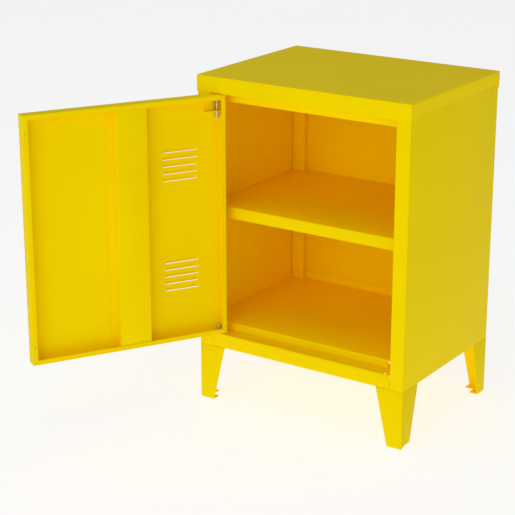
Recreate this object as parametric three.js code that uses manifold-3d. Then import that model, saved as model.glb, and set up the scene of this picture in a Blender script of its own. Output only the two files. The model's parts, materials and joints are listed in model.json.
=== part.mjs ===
// One-door steel locker cabinet on four tapered sheet legs.
// Millimetres, +Z up, +X to the right, +Y to the back.
// The origin is on the floor, under the front left leg's sole.
// The door hangs on two pivot pins at its left edge and stands open at rest.
import * as THREE from 'three';
import { mergeVertices } from 'three/addons/utils/BufferGeometryUtils.js';
import Module from 'manifold-3d';

const wasm = await Module();
wasm.setup();

// Case
const caseWidth = 398;
const caseDepth = 300;
const totalHeight = 570;
const legHeight = 99.5; // floor to the underside of the case
const sheet = 0.8; // case and door sheet
const backSheet = 0.6;
const bend = 1.2; // centreline radius of every bend
const gap = 0.3; // between pieces that touch
const seam = 1; // slit left where a folded post closes on its wall

// Folded posts of the side panels
const frontPostFace = 25;
const frontPostDepth = 22;
const rearPostFace = 25.5;
const rearPostDepth = 11.1;
const bottomFlange = 30; // turned-in flange that the legs bolt to

// Top cover
const coverOverhang = 1.2;
const coverSkirt = 27;
const coverCorner = 2; // radius of its upright corners
const reliefHeight = 5.5; // the side skirts are cut up by this much between their ends
const reliefStart = 8;
const reliefSlope = 10;

// Rails and shelves
const bottomRailHeight = 25;
const bottomRailLedge = 45; // its top flange, which reaches back under the base shelf
const stopSetback = 25; // front face of the case to the shelf lips and the door stop
const topStopHeight = 18;
const baseShelfRise = 14; // top of the bottom rail to the top of the base shelf
const baseLipInset = 41; // the base shelf's lip stops this far from the case sides
const baseLipCorner = 5;
const baseUpstand = 12.5;
const middleShelfHeight = 345.2; // floor to its top face
const middleLip = 20;
const shelfSideLip = 12;
const rearRailHeight = 24;
const clipLength = 30;
const clipLedge = 12;
const clipDrop = 14;
const clipInset = 45; // clip centres to the front lip, and to the rear posts

// Legs
const legSheet = 1.5;
const legTopWidth = 50;
const legFootWidth = 27;
const soleLowerTab = 15; // turned in from the one flange, and stands on the floor
const soleUpperTab = 19; // turned in from the other flange, over the lower tab
const soleStep = 4; // floor to the underside of the upper tab
const rivetInset = 9; // rivet to both outer faces of the leg
const rivetRadius = 2.2;
const rivetHeadRadius = 4;
const rivetHeadHeight = 1.6;
const rivetRise = 0.1; // floor to its lower end
const screwInset = 13; // screw to the nearer face of the case
const screwReach = 38; // screw to the other face
const screwRadius = 3;
const screwHeadRadius = 5.5;
const screwHeadHeight = 3.3;
const screwRecessWidth = 1.2; // of each arm of the cross in its head
const screwRecessDepth = 1.6;
const screwProud = 2; // beyond its nut
const screwPoint = 0.8; // chamfer at its tip
const boltClearance = 0.4; // round a screw in its holes
const nutFlats = 10;
const nutHeight = 5;

// Door, measured from its hinge edge and from its outer skin
const doorDepth = 21.1;
const doorReturn = 8;
const doorSideGap = 1.7;
const doorTopGap = 1.4;
const doorBottomGap = 3.2;
const doorOpenAngle = 120;
const hingeInset = 8.5;
const hingeSetback = 4.6;
const edgeRadius = 1.2;
const mitreSlit = 0.3;
const bufferHoleRadius = 1.5;
const bufferHoleInset = 30;

// Door stiffener, a hat section
const hatStart = 127.5;
const hatWidth = 74.4;
const hatBrim = 10;

// Louvres, in two groups
const louvreStart = 41.5;
const louvreLength = 63.5;
const louvreHeight = 7.5;
const louvreRise = 4; // how far a hood stands out of the skin
const louvrePitch = 12.1;
const louvreCount = 5;
const louvreMargin = 84; // lowest slot to the door's bottom, highest hood to its top

// Hinge pins
const pinRadius = 2.2;
const pinReach = 4; // how far a pin passes through its rail
const pinKnobOverhang = 1.1; // knob, collar and dome beyond the pin
const pinKnobHeight = 6;
const pinKnobChamfer = 0.8;
const pinPoint = 1; // chamfer at its tip
const pinLength = 46;
const springWire = 0.8;
const springPlay = 0.3; // pin to the wire
const springTurns = 6;
const springTurnSteps = 14;
const bracketDrop = 28.5; // door top to the underside of the bracket's ledge
const bracketWidth = 29;
const bracketDepth = 11.5;
const bracketSheet = 1.2;
const bracketInset = 2; // from the door's edge wall
const bracketWindow = 1.5; // its plate stops this far from the knob, which passes beside it
const collarHeight = 1.4;
const bottomPinRise = 11;

// Magnetic catch on the door stop
const catchWidth = 10.5;
const catchHeight = 14;
const catchWall = 1.2;
const catchDrop = 2; // below the cover's skirt
const catchPlay = 0.8; // to the post beside it

// Derived places
const halfWidth = caseWidth / 2;
const halfDepth = caseDepth / 2;
const coverBottom = totalHeight - coverSkirt;
const panelTop = totalHeight - sheet - gap;
const rearFlangeY = halfDepth - backSheet - gap; // outer face of the rear post
const rearPostY = rearFlangeY - rearPostDepth; // its inner face
const frontPostX = halfWidth - frontPostFace;
const rearPostX = halfWidth - rearPostFace;
const innerX = halfWidth - sheet;
const lipY = -halfDepth + stopSetback;
const ledgeZ = legHeight + bottomRailHeight;
const hingeX = -frontPostX + doorSideGap + hingeInset;
const hingeY = -halfDepth + hingeSetback;
const doorWidth = 2 * frontPostX - 2 * doorSideGap;
const doorBottom = ledgeZ + doorBottomGap;
const doorTop = coverBottom - doorTopGap;
const boltHoleRadius = screwRadius + boltClearance;
const pivotHoleRadius = pinRadius + gap;
const pinKnobRadius = pinRadius + pinKnobOverhang;
const springRadius = pinRadius + springPlay + springWire / 2; // to the middle of the wire

const coat = new THREE.MeshStandardMaterial({ color: 0xe3cb00, roughness: 0.45, metalness: 0 });
const zinc = new THREE.MeshStandardMaterial({ color: 0xc9ccc8, roughness: 0.35, metalness: 0.9 });
const plastic = new THREE.MeshStandardMaterial({ color: 0xe9e9e4, roughness: 0.5, metalness: 0 });
const ferrite = new THREE.MeshStandardMaterial({ color: 0x3a3a3c, roughness: 0.6, metalness: 0.2 });

// The cabinet group is drawn about the middle of the case, and set so that the origin is under a sole.
const part = new THREE.Group();
const cabinet = new THREE.Group();
cabinet.position.set(halfWidth - legFootWidth / 2, halfDepth - soleLowerTab / 2, 0);
part.add(cabinet);
const door = new THREE.Group();
door.position.set(hingeX, hingeY, 0);
door.rotation.z = THREE.MathUtils.degToRad(-doorOpenAngle);
cabinet.add(door);

function place(parent, name, geometry, material) {
  const mesh = new THREE.Mesh(geometry, material);
  mesh.name = name;
  parent.add(mesh);
}

function toSolid(geometry) {
  const bare = geometry.clone();
  bare.deleteAttribute('normal');
  bare.deleteAttribute('uv');
  const merged = mergeVertices(bare, 1e-4);
  return new wasm.Manifold(new wasm.Mesh({
    numProp: 3,
    vertProperties: new Float32Array(merged.attributes.position.array),
    triVerts: new Uint32Array(merged.index.array),
  }));
}

function toGeometry(solid) {
  const mesh = solid.getMesh();
  const geometry = new THREE.BufferGeometry();
  geometry.setAttribute('position', new THREE.BufferAttribute(new Float32Array(mesh.vertProperties), 3));
  geometry.setIndex(new THREE.BufferAttribute(new Uint32Array(mesh.triVerts), 1));
  geometry.computeVertexNormals();
  return geometry;
}

function join(first, ...others) {
  return toGeometry(others.reduce((solid, other) => solid.add(toSolid(other)), toSolid(first)));
}

function cut(first, ...tools) {
  return toGeometry(tools.reduce((solid, tool) => solid.subtract(toSolid(tool)), toSolid(first)));
}

function common(first, second) {
  return toGeometry(toSolid(first).intersect(toSolid(second)));
}

function box([x0, x1], [y0, y1], [z0, z1]) {
  const geometry = new THREE.BoxGeometry(x1 - x0, y1 - y0, z1 - z0);
  return geometry.translate((x0 + x1) / 2, (y0 + y1) / 2, (z0 + z1) / 2);
}

function rod(radius, [x, y], [z0, z1], segments = 24) {
  const geometry = new THREE.CylinderGeometry(radius, radius, z1 - z0, segments);
  return geometry.rotateX(Math.PI / 2).translate(x, y, (z0 + z1) / 2);
}

// A profile of (radius, z) turned about the upright axis.
function lathe(profile) {
  const points = profile.map(([radius, z]) => new THREE.Vector2(radius, z));
  return new THREE.LatheGeometry(points, 20).rotateX(Math.PI / 2);
}

// An outline drawn in (x, y), and given a thickness from one z to another.
function slab(outline, [z0, z1]) {
  const geometry = new THREE.ExtrudeGeometry(outline, { depth: z1 - z0, bevelEnabled: false });
  return geometry.translate(0, 0, z0);
}

// An outline drawn in (y, z), run from one x to another.
function alongX(outline, [x0, x1]) {
  const geometry = new THREE.ExtrudeGeometry(outline, { depth: x1 - x0, bevelEnabled: false });
  const turn = new THREE.Matrix4().makeBasis(
    new THREE.Vector3(0, 1, 0), new THREE.Vector3(0, 0, 1), new THREE.Vector3(1, 0, 0));
  return geometry.applyMatrix4(turn).translate(x0, 0, 0);
}

// An outline drawn in (x, z), run from one y to another.
function alongY(outline, [y0, y1]) {
  const geometry = new THREE.ExtrudeGeometry(outline, { depth: y1 - y0, bevelEnabled: false });
  return geometry.rotateX(Math.PI / 2).translate(0, y1, 0);
}

function mirrored(geometry, signX, signY) {
  const copy = geometry.clone().scale(signX, signY, 1);
  if (signX * signY > 0) return copy;
  const index = copy.index.array;
  for (let i = 0; i < index.length; i += 3) {
    [index[i], index[i + 1]] = [index[i + 1], index[i]];
  }
  copy.computeVertexNormals();
  return copy;
}

function polygon(points) {
  return new THREE.Shape(points.map(([u, v]) => new THREE.Vector2(u, v)));
}

function roundedRectangle([u0, u1], [v0, v1], radius, steps = 4) {
  const corners = [[u1, v0, -90], [u1, v1, 0], [u0, v1, 90], [u0, v0, 180]];
  const points = [];
  for (const [u, v, startAngle] of corners) {
    const centre = [u - Math.sign(u - (u0 + u1) / 2) * radius, v - Math.sign(v - (v0 + v1) / 2) * radius];
    for (let i = 0; i <= steps; i++) {
      const angle = THREE.MathUtils.degToRad(startAngle + 90 * i / steps);
      points.push([centre[0] + radius * Math.cos(angle), centre[1] + radius * Math.sin(angle)]);
    }
  }
  return polygon(points);
}

// Outline of a sheet bent along a path. The path is the middle of the sheet's thickness.
function bentSheet(path, thickness, steps = 4) {
  const points = path.map(([u, v]) => new THREE.Vector2(u, v));
  const left = [];
  const right = [];
  const both = (middle, normal) => {
    left.push(middle.clone().addScaledVector(normal, thickness / 2));
    right.push(middle.clone().addScaledVector(normal, -thickness / 2));
  };
  const heading = (i) => points[i + 1].clone().sub(points[i]).normalize();
  const leftOf = (direction) => new THREE.Vector2(-direction.y, direction.x);
  both(points[0], leftOf(heading(0)));
  for (let i = 1; i < points.length - 1; i++) {
    const arrive = heading(i - 1);
    const turn = Math.asin(THREE.MathUtils.clamp(arrive.cross(heading(i)), -1, 1));
    const side = Math.sign(turn);
    const start = points[i].clone().addScaledVector(arrive, -bend * Math.tan(Math.abs(turn) / 2));
    const centre = start.addScaledVector(leftOf(arrive), side * bend);
    for (let k = 0; k <= steps; k++) {
      const normal = leftOf(arrive).rotateAround(new THREE.Vector2(), turn * k / steps);
      both(centre.clone().addScaledVector(normal, -side * bend), normal);
    }
  }
  both(points[points.length - 1], leftOf(heading(points.length - 2)));
  return new THREE.Shape([...left, ...right.reverse()]);
}

// Side panels, each one sheet: a folded front post, the wall, a folded rear post and a bottom flange.
// The left one is drawn, and the right one mirrors it.

function sidePanel() {
  const half = sheet / 2;
  const wallX = -halfWidth + half;
  const seamX = -halfWidth + sheet + seam;
  const plan = bentSheet([
    [seamX, -halfDepth + frontPostDepth - half],
    [-frontPostX - half, -halfDepth + frontPostDepth - half],
    [-frontPostX - half, -halfDepth + half],
    [wallX, -halfDepth + half],
    [wallX, rearFlangeY - half],
    [-rearPostX - half, rearFlangeY - half],
    [-rearPostX - half, rearPostY + half],
    [seamX, rearPostY + half],
  ], sheet);
  const flange = box(
    [-halfWidth + half, -halfWidth + bottomFlange],
    [-halfDepth + bottomFlange + gap, halfDepth - bottomFlange - gap],
    [legHeight, legHeight + sheet]);
  const holeZ = [legHeight - 1, legHeight + sheet + 1];
  const boltHoles = [-1, 1].map((end) => rod(
    boltHoleRadius, [-halfWidth + screwInset, end * (halfDepth - screwReach)], holeZ));
  return cut(join(slab(plan, [legHeight, panelTop]), flange), ...boltHoles);
}

const leftSidePanel = sidePanel();
place(cabinet, 'left_side_panel', leftSidePanel, coat);
place(cabinet, 'right_side_panel', mirrored(leftSidePanel, -1, 1), coat);

place(cabinet, 'back_panel', box(
  [-innerX + gap, innerX - gap], [halfDepth - backSheet, halfDepth], [legHeight, panelTop]), coat);

// The top cover is a tray turned upside down over the case. Its side skirts are cut up between their ends.

function topCover() {
  const reachX = halfWidth + coverOverhang;
  const reachY = halfDepth + coverOverhang;
  const outerPlan = roundedRectangle([-reachX, reachX], [-reachY, reachY], coverCorner);
  const outer = slab(outerPlan, [coverBottom, totalHeight]);
  const insideX = reachX - sheet;
  const insideY = reachY - sheet;
  const innerPlan = roundedRectangle([-insideX, insideX], [-insideY, insideY], coverCorner - sheet);
  const inner = slab(innerPlan, [coverBottom - 1, totalHeight - sheet]);
  const low = reachY - reliefStart;
  const high = low - reliefSlope;
  const relief = alongX(polygon([
    [-low, coverBottom - 1], [low, coverBottom - 1], [low, coverBottom],
    [high, coverBottom + reliefHeight], [-high, coverBottom + reliefHeight], [-low, coverBottom],
  ]), [-reachX - 1, reachX + 1]);
  return cut(outer, inner, relief);
}

place(cabinet, 'top_cover', topCover(), coat);

// Both front rails are punched for a pivot pin at each end, so the door can hang on either side.

function pivotHoles(z) {
  return [-1, 1].map((side) => rod(pivotHoleRadius, [side * hingeX, hingeY], [z - 1, z + sheet + 1]));
}

function topFrontRail() {
  const half = sheet / 2;
  const frontY = -halfDepth + half;
  const profile = bentSheet([
    [frontY, panelTop - gap],
    [frontY, coverBottom + half],
    [lipY + half, coverBottom + half],
    [lipY + half, coverBottom - topStopHeight],
  ], sheet);
  const reach = frontPostX - gap;
  return cut(alongX(profile, [-reach, reach]), ...pivotHoles(coverBottom));
}

function bottomFrontRail() {
  const half = sheet / 2;
  const frontY = -halfDepth + half;
  const profile = bentSheet([
    [-halfDepth + bottomRailLedge, ledgeZ - half],
    [frontY, ledgeZ - half],
    [frontY, legHeight + half],
    [-halfDepth + bottomFlange, legHeight + half],
  ], sheet);
  const reach = frontPostX - gap;
  return cut(alongX(profile, [-reach, reach]), ...pivotHoles(ledgeZ - sheet), ...railBoltHoles(-1));
}

function railBoltHoles(end) {
  const y = end * (halfDepth - screwInset);
  const z = [legHeight - 1, legHeight + sheet + 1];
  return [-1, 1].map((side) => rod(boltHoleRadius, [side * (halfWidth - screwReach), y], z));
}

function bottomRearRail() {
  const half = sheet / 2;
  const backY = halfDepth - backSheet - gap - half;
  const profile = bentSheet([
    [backY, legHeight + rearRailHeight],
    [backY, legHeight + half],
    [halfDepth - bottomFlange, legHeight + half],
  ], sheet);
  const reach = rearPostX - gap;
  return cut(alongX(profile, [-reach, reach]), ...railBoltHoles(1));
}

place(cabinet, 'top_front_rail', topFrontRail(), coat);
place(cabinet, 'bottom_front_rail', bottomFrontRail(), coat);
place(cabinet, 'bottom_rear_rail', bottomRearRail(), coat);

// A shelf is a tray with a front lip, two side lips and a rear edge that reaches back between the rear posts.

function shelf(topZ, profile, lipDepth) {
  const reach = innerX - gap;
  const plate = alongX(profile, [-reach, reach]);
  const notches = [-1, 1].map((side) => {
    const xs = [side * (rearPostX - gap), side * (reach + 1)].sort((a, b) => a - b);
    return box(xs, [rearPostY - gap, halfDepth + 1], [topZ - 50, topZ + 50]);
  });
  const sideLips = [-1, 1].map((side) => {
    const xs = [side * reach, side * (reach - sheet)].sort((a, b) => a - b);
    return box(xs, [lipY + sheet, rearPostY - gap], [topZ - lipDepth, topZ - sheet / 2]);
  });
  return join(cut(plate, ...notches), ...sideLips);
}

function baseShelf() {
  const half = sheet / 2;
  const topZ = ledgeZ + baseShelfRise;
  const backY = halfDepth - backSheet - gap - half;
  const profile = bentSheet([
    [backY, topZ + baseUpstand],
    [backY, topZ - half],
    [lipY + half, topZ - half],
    [lipY + half, ledgeZ + gap],
  ], sheet);
  const lipEnd = halfWidth - baseLipInset;
  const lipDepth = baseShelfRise - gap;
  const lipHeights = [ledgeZ + gap - 1, topZ + baseLipCorner];
  const lipWindow = roundedRectangle([-lipEnd, lipEnd], lipHeights, baseLipCorner);
  const lipKept = alongY(lipWindow, [lipY - 2, lipY + 2 * bend]);
  const lipBlock = box(
    [-halfWidth, halfWidth], [lipY - 1, lipY + sheet + bend], [ledgeZ - 1, topZ - sheet - bend]);
  return cut(shelf(topZ, profile, lipDepth), cut(lipBlock, lipKept));
}

function middleShelf() {
  const half = sheet / 2;
  const backY = halfDepth - backSheet - gap;
  const profile = bentSheet([
    [backY - half, middleShelfHeight - shelfSideLip],
    [backY - half, middleShelfHeight - half],
    [lipY + half, middleShelfHeight - half],
    [lipY + half, middleShelfHeight - middleLip],
  ], sheet);
  return shelf(middleShelfHeight, profile, middleLip);
}

place(cabinet, 'base_shelf', baseShelf(), coat);
place(cabinet, 'middle_shelf', middleShelf(), coat);

// Angle clips welded to the walls, under the middle shelf's side lips.
function shelfClip() {
  const half = sheet / 2;
  const ledge = middleShelfHeight - middleLip - gap;
  const wallX = innerX - gap - half;
  const profile = bentSheet([
    [wallX, ledge - clipDrop],
    [wallX, ledge - half],
    [innerX - gap - clipLedge, ledge - half],
  ], sheet);
  return alongY(profile, [-clipLength / 2, clipLength / 2]);
}

const clip = join(shelfClip());
const clipPlaces = { front: lipY + clipInset, rear: rearPostY - clipInset };
for (const [end, y] of Object.entries(clipPlaces)) {
  place(cabinet, `${end}_left_shelf_clip`, mirrored(clip, -1, 1).translate(0, y, 0), coat);
  place(cabinet, `${end}_right_shelf_clip`, clip.clone().translate(0, y, 0), coat);
}

// A leg is drawn with its outer corner at the origin and its flanges along +X and +Y.
// The flange along +X carries the lower tab.
// The rear leg is the front leg turned a quarter, and the right legs mirror the left ones.

function leg() {
  const half = legSheet / 2;
  const height = legHeight - gap;
  const section = bentSheet([[legTopWidth, half], [half, half], [half, legTopWidth]], legSheet);
  const taper = polygon([
    [legFootWidth, 0], [legFootWidth, -1], [legTopWidth + 1, -1],
    [legTopWidth + 1, height], [legTopWidth, height],
  ]);
  const frontCut = alongY(taper, [-1, legSheet + bend]);
  const sideCut = alongX(taper, [-1, legSheet + bend]);
  const cornerRelief = legSheet + bend;
  const sideStep = box([-1, cornerRelief], [cornerRelief, legTopWidth + 1], [-1, soleStep]);
  const flanges = cut(slab(section, [0, height]), frontCut, sideCut, sideStep);
  const lowerTab = box([cornerRelief, legFootWidth], [half, soleLowerTab], [0, legSheet]);
  const upperTab = box([half, soleUpperTab], [cornerRelief, legFootWidth], [soleStep, soleStep + legSheet]);
  const plateReach = legTopWidth - gap;
  const plate = slab(polygon([
    [half, half], [plateReach, half], [plateReach, legFootWidth],
    [legFootWidth, plateReach], [half, plateReach],
  ]), [height - legSheet, height]);
  const rivetHole = rod(rivetRadius + gap, [rivetInset, rivetInset], [-1, soleStep + legSheet + 1]);
  const boltPlaces = [[screwReach, screwInset], [screwInset, screwReach]];
  const boltZ = [height - legSheet - 1, height + 1];
  const boltHoles = boltPlaces.map((at) => rod(boltHoleRadius, at, boltZ));
  return cut(join(flanges, lowerTab, upperTab, plate), rivetHole, ...boltHoles);
}

// Ties the two tabs of a sole together.
function soleRivet() {
  const seat = soleStep + legSheet + gap;
  const profile = [
    [0, rivetRise], [rivetRadius, rivetRise], [rivetRadius, seat], [rivetHeadRadius, seat],
    [rivetHeadRadius * 0.88, seat + rivetHeadHeight * 0.5],
    [rivetHeadRadius * 0.55, seat + rivetHeadHeight * 0.87], [0, seat + rivetHeadHeight],
  ];
  return lathe(profile);
}

function legScrew() {
  const plateZ = legHeight - gap - legSheet;
  const headTop = plateZ - gap;
  const headBottom = headTop - screwHeadHeight;
  const tip = legHeight + sheet + nutHeight + screwProud;
  const profile = [
    [0, headBottom], [screwHeadRadius * 0.55, headBottom + screwHeadHeight * 0.06],
    [screwHeadRadius * 0.86, headBottom + screwHeadHeight * 0.3],
    [screwHeadRadius, headBottom + screwHeadHeight * 0.67], [screwHeadRadius, headTop],
    [screwRadius, headTop], [screwRadius, tip - screwPoint], [screwRadius - screwPoint, tip], [0, tip],
  ];
  const arm = [-screwHeadRadius / 2, screwHeadRadius / 2];
  const web = [-screwRecessWidth / 2, screwRecessWidth / 2];
  const recess = [headBottom - 1, headBottom + screwRecessDepth];
  return cut(lathe(profile), box(arm, web, recess), box(web, arm, recess));
}

function legNut() {
  const base = legHeight + sheet + gap;
  const hexagon = rod(nutFlats / Math.sqrt(3), [0, 0], [base, base + nutHeight], 6);
  return cut(hexagon, rod(boltHoleRadius, [0, 0], [base - 1, base + nutHeight + 1]));
}

const legShape = leg();
const screwShape = legScrew();
const nutShape = legNut();
const rivetShape = soleRivet();
for (const [end, signY, turn] of [['front', 1, 0], ['rear', -1, -Math.PI / 2]]) {
  for (const [hand, signX] of [['left', 1], ['right', -1]]) {
    const corner = [-signX * halfWidth, -signY * halfDepth];
    const turned = legShape.clone().rotateZ(turn);
    const rivetAt = [corner[0] + signX * rivetInset, corner[1] + signY * rivetInset];
    place(cabinet, `${end}_${hand}_leg`, mirrored(turned, signX, 1).translate(...corner, 0), coat);
    place(cabinet, `${end}_${hand}_sole_rivet`, rivetShape.clone().translate(...rivetAt, 0), zinc);
    for (const [face, x, y] of [[end, screwReach, screwInset], ['side', screwInset, screwReach]]) {
      const at = [corner[0] + signX * x, corner[1] + signY * y];
      const label = face === 'side' ? 'side' : 'rail';
      place(cabinet, `${end}_${hand}_leg_${label}_screw`, screwShape.clone().translate(...at, 0), zinc);
      place(cabinet, `${end}_${hand}_leg_${label}_nut`, nutShape.clone().translate(...at, 0), zinc);
    }
  }
}

// Magnetic catch: a magnet in an open frame on the door stop, at the end away from the hinge.

function catchPieces() {
  const face = -halfDepth + doorDepth + gap;
  const back = lipY - gap;
  const right = frontPostX - catchPlay;
  const left = right - catchWidth;
  const top = coverBottom - catchDrop;
  const bottom = top - catchHeight;
  const holder = cut(
    box([left, right], [face, back], [bottom, top]),
    box([left + catchWall, right - catchWall], [face - 1, back + 1], [bottom + catchWall, top - catchWall]));
  const inset = catchWall + gap;
  const magnet = box([left + inset, right - inset], [face, back], [bottom + inset, top - inset]);
  return { holder, magnet };
}

const catchParts = catchPieces();
place(cabinet, 'catch_frame', catchParts.holder, plastic);
place(cabinet, 'catch_magnet', catchParts.magnet, ferrite);

// The door is drawn closed, with the hinge axis at the origin of its group.
const doorX = [-hingeInset, doorWidth - hingeInset];
const doorY = [-hingeSetback, doorDepth - hingeSetback];
const doorZ = [doorBottom, doorTop];
const fromEdge = (distance) => doorX[0] + distance;
const fromSkin = (distance) => doorY[0] + distance;

// A hood pressed out of the skin, closed above and at its ends, open below.
function hoodBlock(z, shrink) {
  const radius = louvreHeight - shrink;
  const straight = louvreLength - 2 * louvreHeight;
  const capsule = new THREE.CapsuleGeometry(radius, straight, 5, 20).rotateZ(Math.PI / 2);
  capsule.scale(1, (louvreRise - shrink) / radius, 1);
  return capsule.translate(fromEdge(louvreStart + louvreLength / 2), fromSkin(0), z);
}

function louvreBottoms() {
  const upperTop = doorTop - louvreMargin - louvreHeight;
  const lowest = doorBottom + louvreMargin;
  const bottoms = [];
  for (let i = 0; i < louvreCount; i++) {
    bottoms.push(upperTop - i * louvrePitch, lowest + i * louvrePitch);
  }
  return bottoms;
}

function doorPanel() {
  const [x0, x1] = doorX;
  const [y0, y1] = doorY;
  const [z0, z1] = doorZ;
  const block = common(
    slab(roundedRectangle(doorX, doorY, edgeRadius), doorZ),
    alongX(roundedRectangle(doorY, doorZ, edgeRadius), doorX));
  const hollow = box([x0 + sheet, x1 - sheet], [y0 + sheet, y1 - sheet], [z0 + sheet, z1 - sheet]);
  const window = box(
    [x0 + doorReturn, x1 - doorReturn], [y1 - 2 * sheet, y1 + 1], [z0 + doorReturn, z1 - doorReturn]);
  const holes = [z0, z1 - sheet].map((z) => rod(pivotHoleRadius, [0, 0], [z - 1, z + sheet + 1]));
  const slits = [];
  for (const [x, inX] of [[x0, 1], [x1, -1]]) {
    for (const [z, inZ] of [[z0, 1], [z1, -1]]) {
      const start = edgeRadius + sheet;
      const length = (doorReturn + 1 - start) * Math.SQRT2;
      const slit = box([0, length], [y1 - 2 * sheet, y1 + 1], [-mitreSlit / 2, mitreSlit / 2]);
      slit.rotateY(-Math.atan2(inZ, inX)).translate(x + inX * start, 0, z + inZ * start);
      slits.push(slit);
    }
  }
  const bufferHoles = [z0 + bufferHoleInset, z1 - bufferHoleInset].map((z) => {
    const hole = new THREE.CylinderGeometry(bufferHoleRadius, bufferHoleRadius, 4, 16);
    return hole.translate(x1 - doorReturn / 2, y1, z);
  });
  const shell = cut(block, hollow, window, ...holes, ...slits, ...bufferHoles);
  const outside = [y0 - louvreRise - 1, y0];
  const across = [fromEdge(louvreStart) - 1, fromEdge(louvreStart + louvreLength) + 1];
  const hoods = louvreBottoms().map((z) => common(
    hoodBlock(z, 0), box(across, [outside[0], y0 + sheet / 2], [z, z + louvreHeight + 1])));
  const throats = louvreBottoms().map((z) => common(
    hoodBlock(z, sheet), box(across, outside, [z - 0.5, z + louvreHeight])));
  const slots = louvreBottoms().map((z) => {
    const ends = [fromEdge(louvreStart + sheet), fromEdge(louvreStart + louvreLength - sheet)];
    const opening = roundedTop(ends, [z, z + louvreHeight - sheet]);
    return alongY(opening, [y0 - 0.05, y0 + sheet + 1]);
  });
  return cut(join(shell, ...hoods), ...throats, ...slots);
}

// A slot outline with a straight lower edge and quarter-round upper corners.
function roundedTop([x0, x1], [z0, z1]) {
  const radius = z1 - z0;
  const points = [[x0, z0], [x1, z0]];
  for (const [centre, from] of [[x1 - radius, 0], [x0 + radius, 90]]) {
    for (let i = 1; i <= 5; i++) {
      const angle = THREE.MathUtils.degToRad(from + 18 * i);
      points.push([centre + radius * Math.cos(angle), z0 + radius * Math.sin(angle)]);
    }
  }
  return polygon(points.slice(0, -1));
}

function doorStiffener() {
  const half = sheet / 2;
  const low = fromSkin(sheet + gap) + half;
  const high = fromSkin(doorDepth - sheet - gap) - half;
  const left = fromEdge(hatStart);
  const right = left + hatWidth;
  const profile = bentSheet([
    [left, low], [left + hatBrim + half, low], [left + hatBrim + half, high],
    [right - hatBrim - half, high], [right - hatBrim - half, low], [right, low],
  ], sheet);
  return slab(profile, [doorBottom + sheet + gap, doorTop - sheet - gap]);
}

place(door, 'door_panel', doorPanel(), coat);
place(door, 'door_stiffener', join(doorStiffener()), coat);

// The top hinge pin is pushed up by its spring, and pulled down by its knob to lift the door out.

const ledgeTop = doorTop - bracketDrop + bracketSheet;
const pinTop = coverBottom + sheet + pinReach;
const collarTop = doorTop - sheet - gap;
const springBottom = ledgeTop + gap;
const springTop = collarTop - collarHeight - gap;

function topHingeBracket() {
  const skinFace = fromSkin(sheet + gap);
  const plateStart = pinKnobRadius + bracketWindow;
  const edge = fromEdge(sheet + bracketInset);
  const plate = box(
    [plateStart, edge + bracketWidth], [skinFace, skinFace + bracketSheet],
    [ledgeTop - bracketSheet, doorTop - sheet - gap]);
  const ledge = box(
    [edge, edge + bracketWidth], [skinFace, skinFace + bracketDepth], [ledgeTop - bracketSheet, ledgeTop]);
  return cut(join(plate, ledge), rod(pivotHoleRadius, [0, 0], [ledgeTop - bracketSheet - 1, ledgeTop + 1]));
}

function topHingePin() {
  const bottom = pinTop - pinLength;
  const profile = [
    [0, bottom], [pinKnobRadius - pinKnobChamfer, bottom], [pinKnobRadius, bottom + pinKnobChamfer],
    [pinKnobRadius, bottom + pinKnobHeight - pinKnobChamfer],
    [pinKnobRadius - pinKnobChamfer, bottom + pinKnobHeight],
    [pinRadius, bottom + pinKnobHeight], [pinRadius, collarTop - collarHeight],
    [pinKnobRadius, collarTop - collarHeight], [pinKnobRadius, collarTop], [pinRadius, collarTop],
    [pinRadius, pinTop - pinPoint], [pinRadius - pinPoint, pinTop], [0, pinTop],
  ];
  return lathe(profile);
}

class Helix extends THREE.Curve {
  getPoint(t, target = new THREE.Vector3()) {
    const angle = 2 * Math.PI * springTurns * t;
    const low = springBottom + springWire / 2;
    const high = springTop - springWire / 2;
    return target.set(springRadius * Math.cos(angle), springRadius * Math.sin(angle), low + (high - low) * t);
  }
}

function hingeSpring() {
  const across = [-springWire / 2, springWire / 2];
  const wire = roundedRectangle(across, across, springWire * 0.3, 1);
  return new THREE.ExtrudeGeometry(wire, { steps: springTurns * springTurnSteps, extrudePath: new Helix() });
}

function bottomHingePin() {
  const seat = doorBottom + sheet + gap;
  const tip = ledgeZ - sheet - pinReach;
  const top = seat + bottomPinRise;
  const dome = pinKnobRadius;
  const profile = [
    [0, tip], [pinRadius - pinPoint, tip], [pinRadius, tip + pinPoint], [pinRadius, seat], [dome, seat],
    [dome, top - dome], [dome * 0.92, top - dome * 0.6], [dome * 0.71, top - dome * 0.3],
    [dome * 0.38, top - dome * 0.08], [0, top],
  ];
  return lathe(profile);
}

place(door, 'top_hinge_bracket', topHingeBracket(), coat);
place(door, 'top_hinge_pin', topHingePin(), zinc);
place(door, 'hinge_spring', hingeSpring(), zinc);
place(door, 'bottom_hinge_pin', bottomHingePin(), zinc);

export default part;
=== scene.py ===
import json
import math
import bmesh
import bpy
from mathutils import Matrix, Vector


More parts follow.
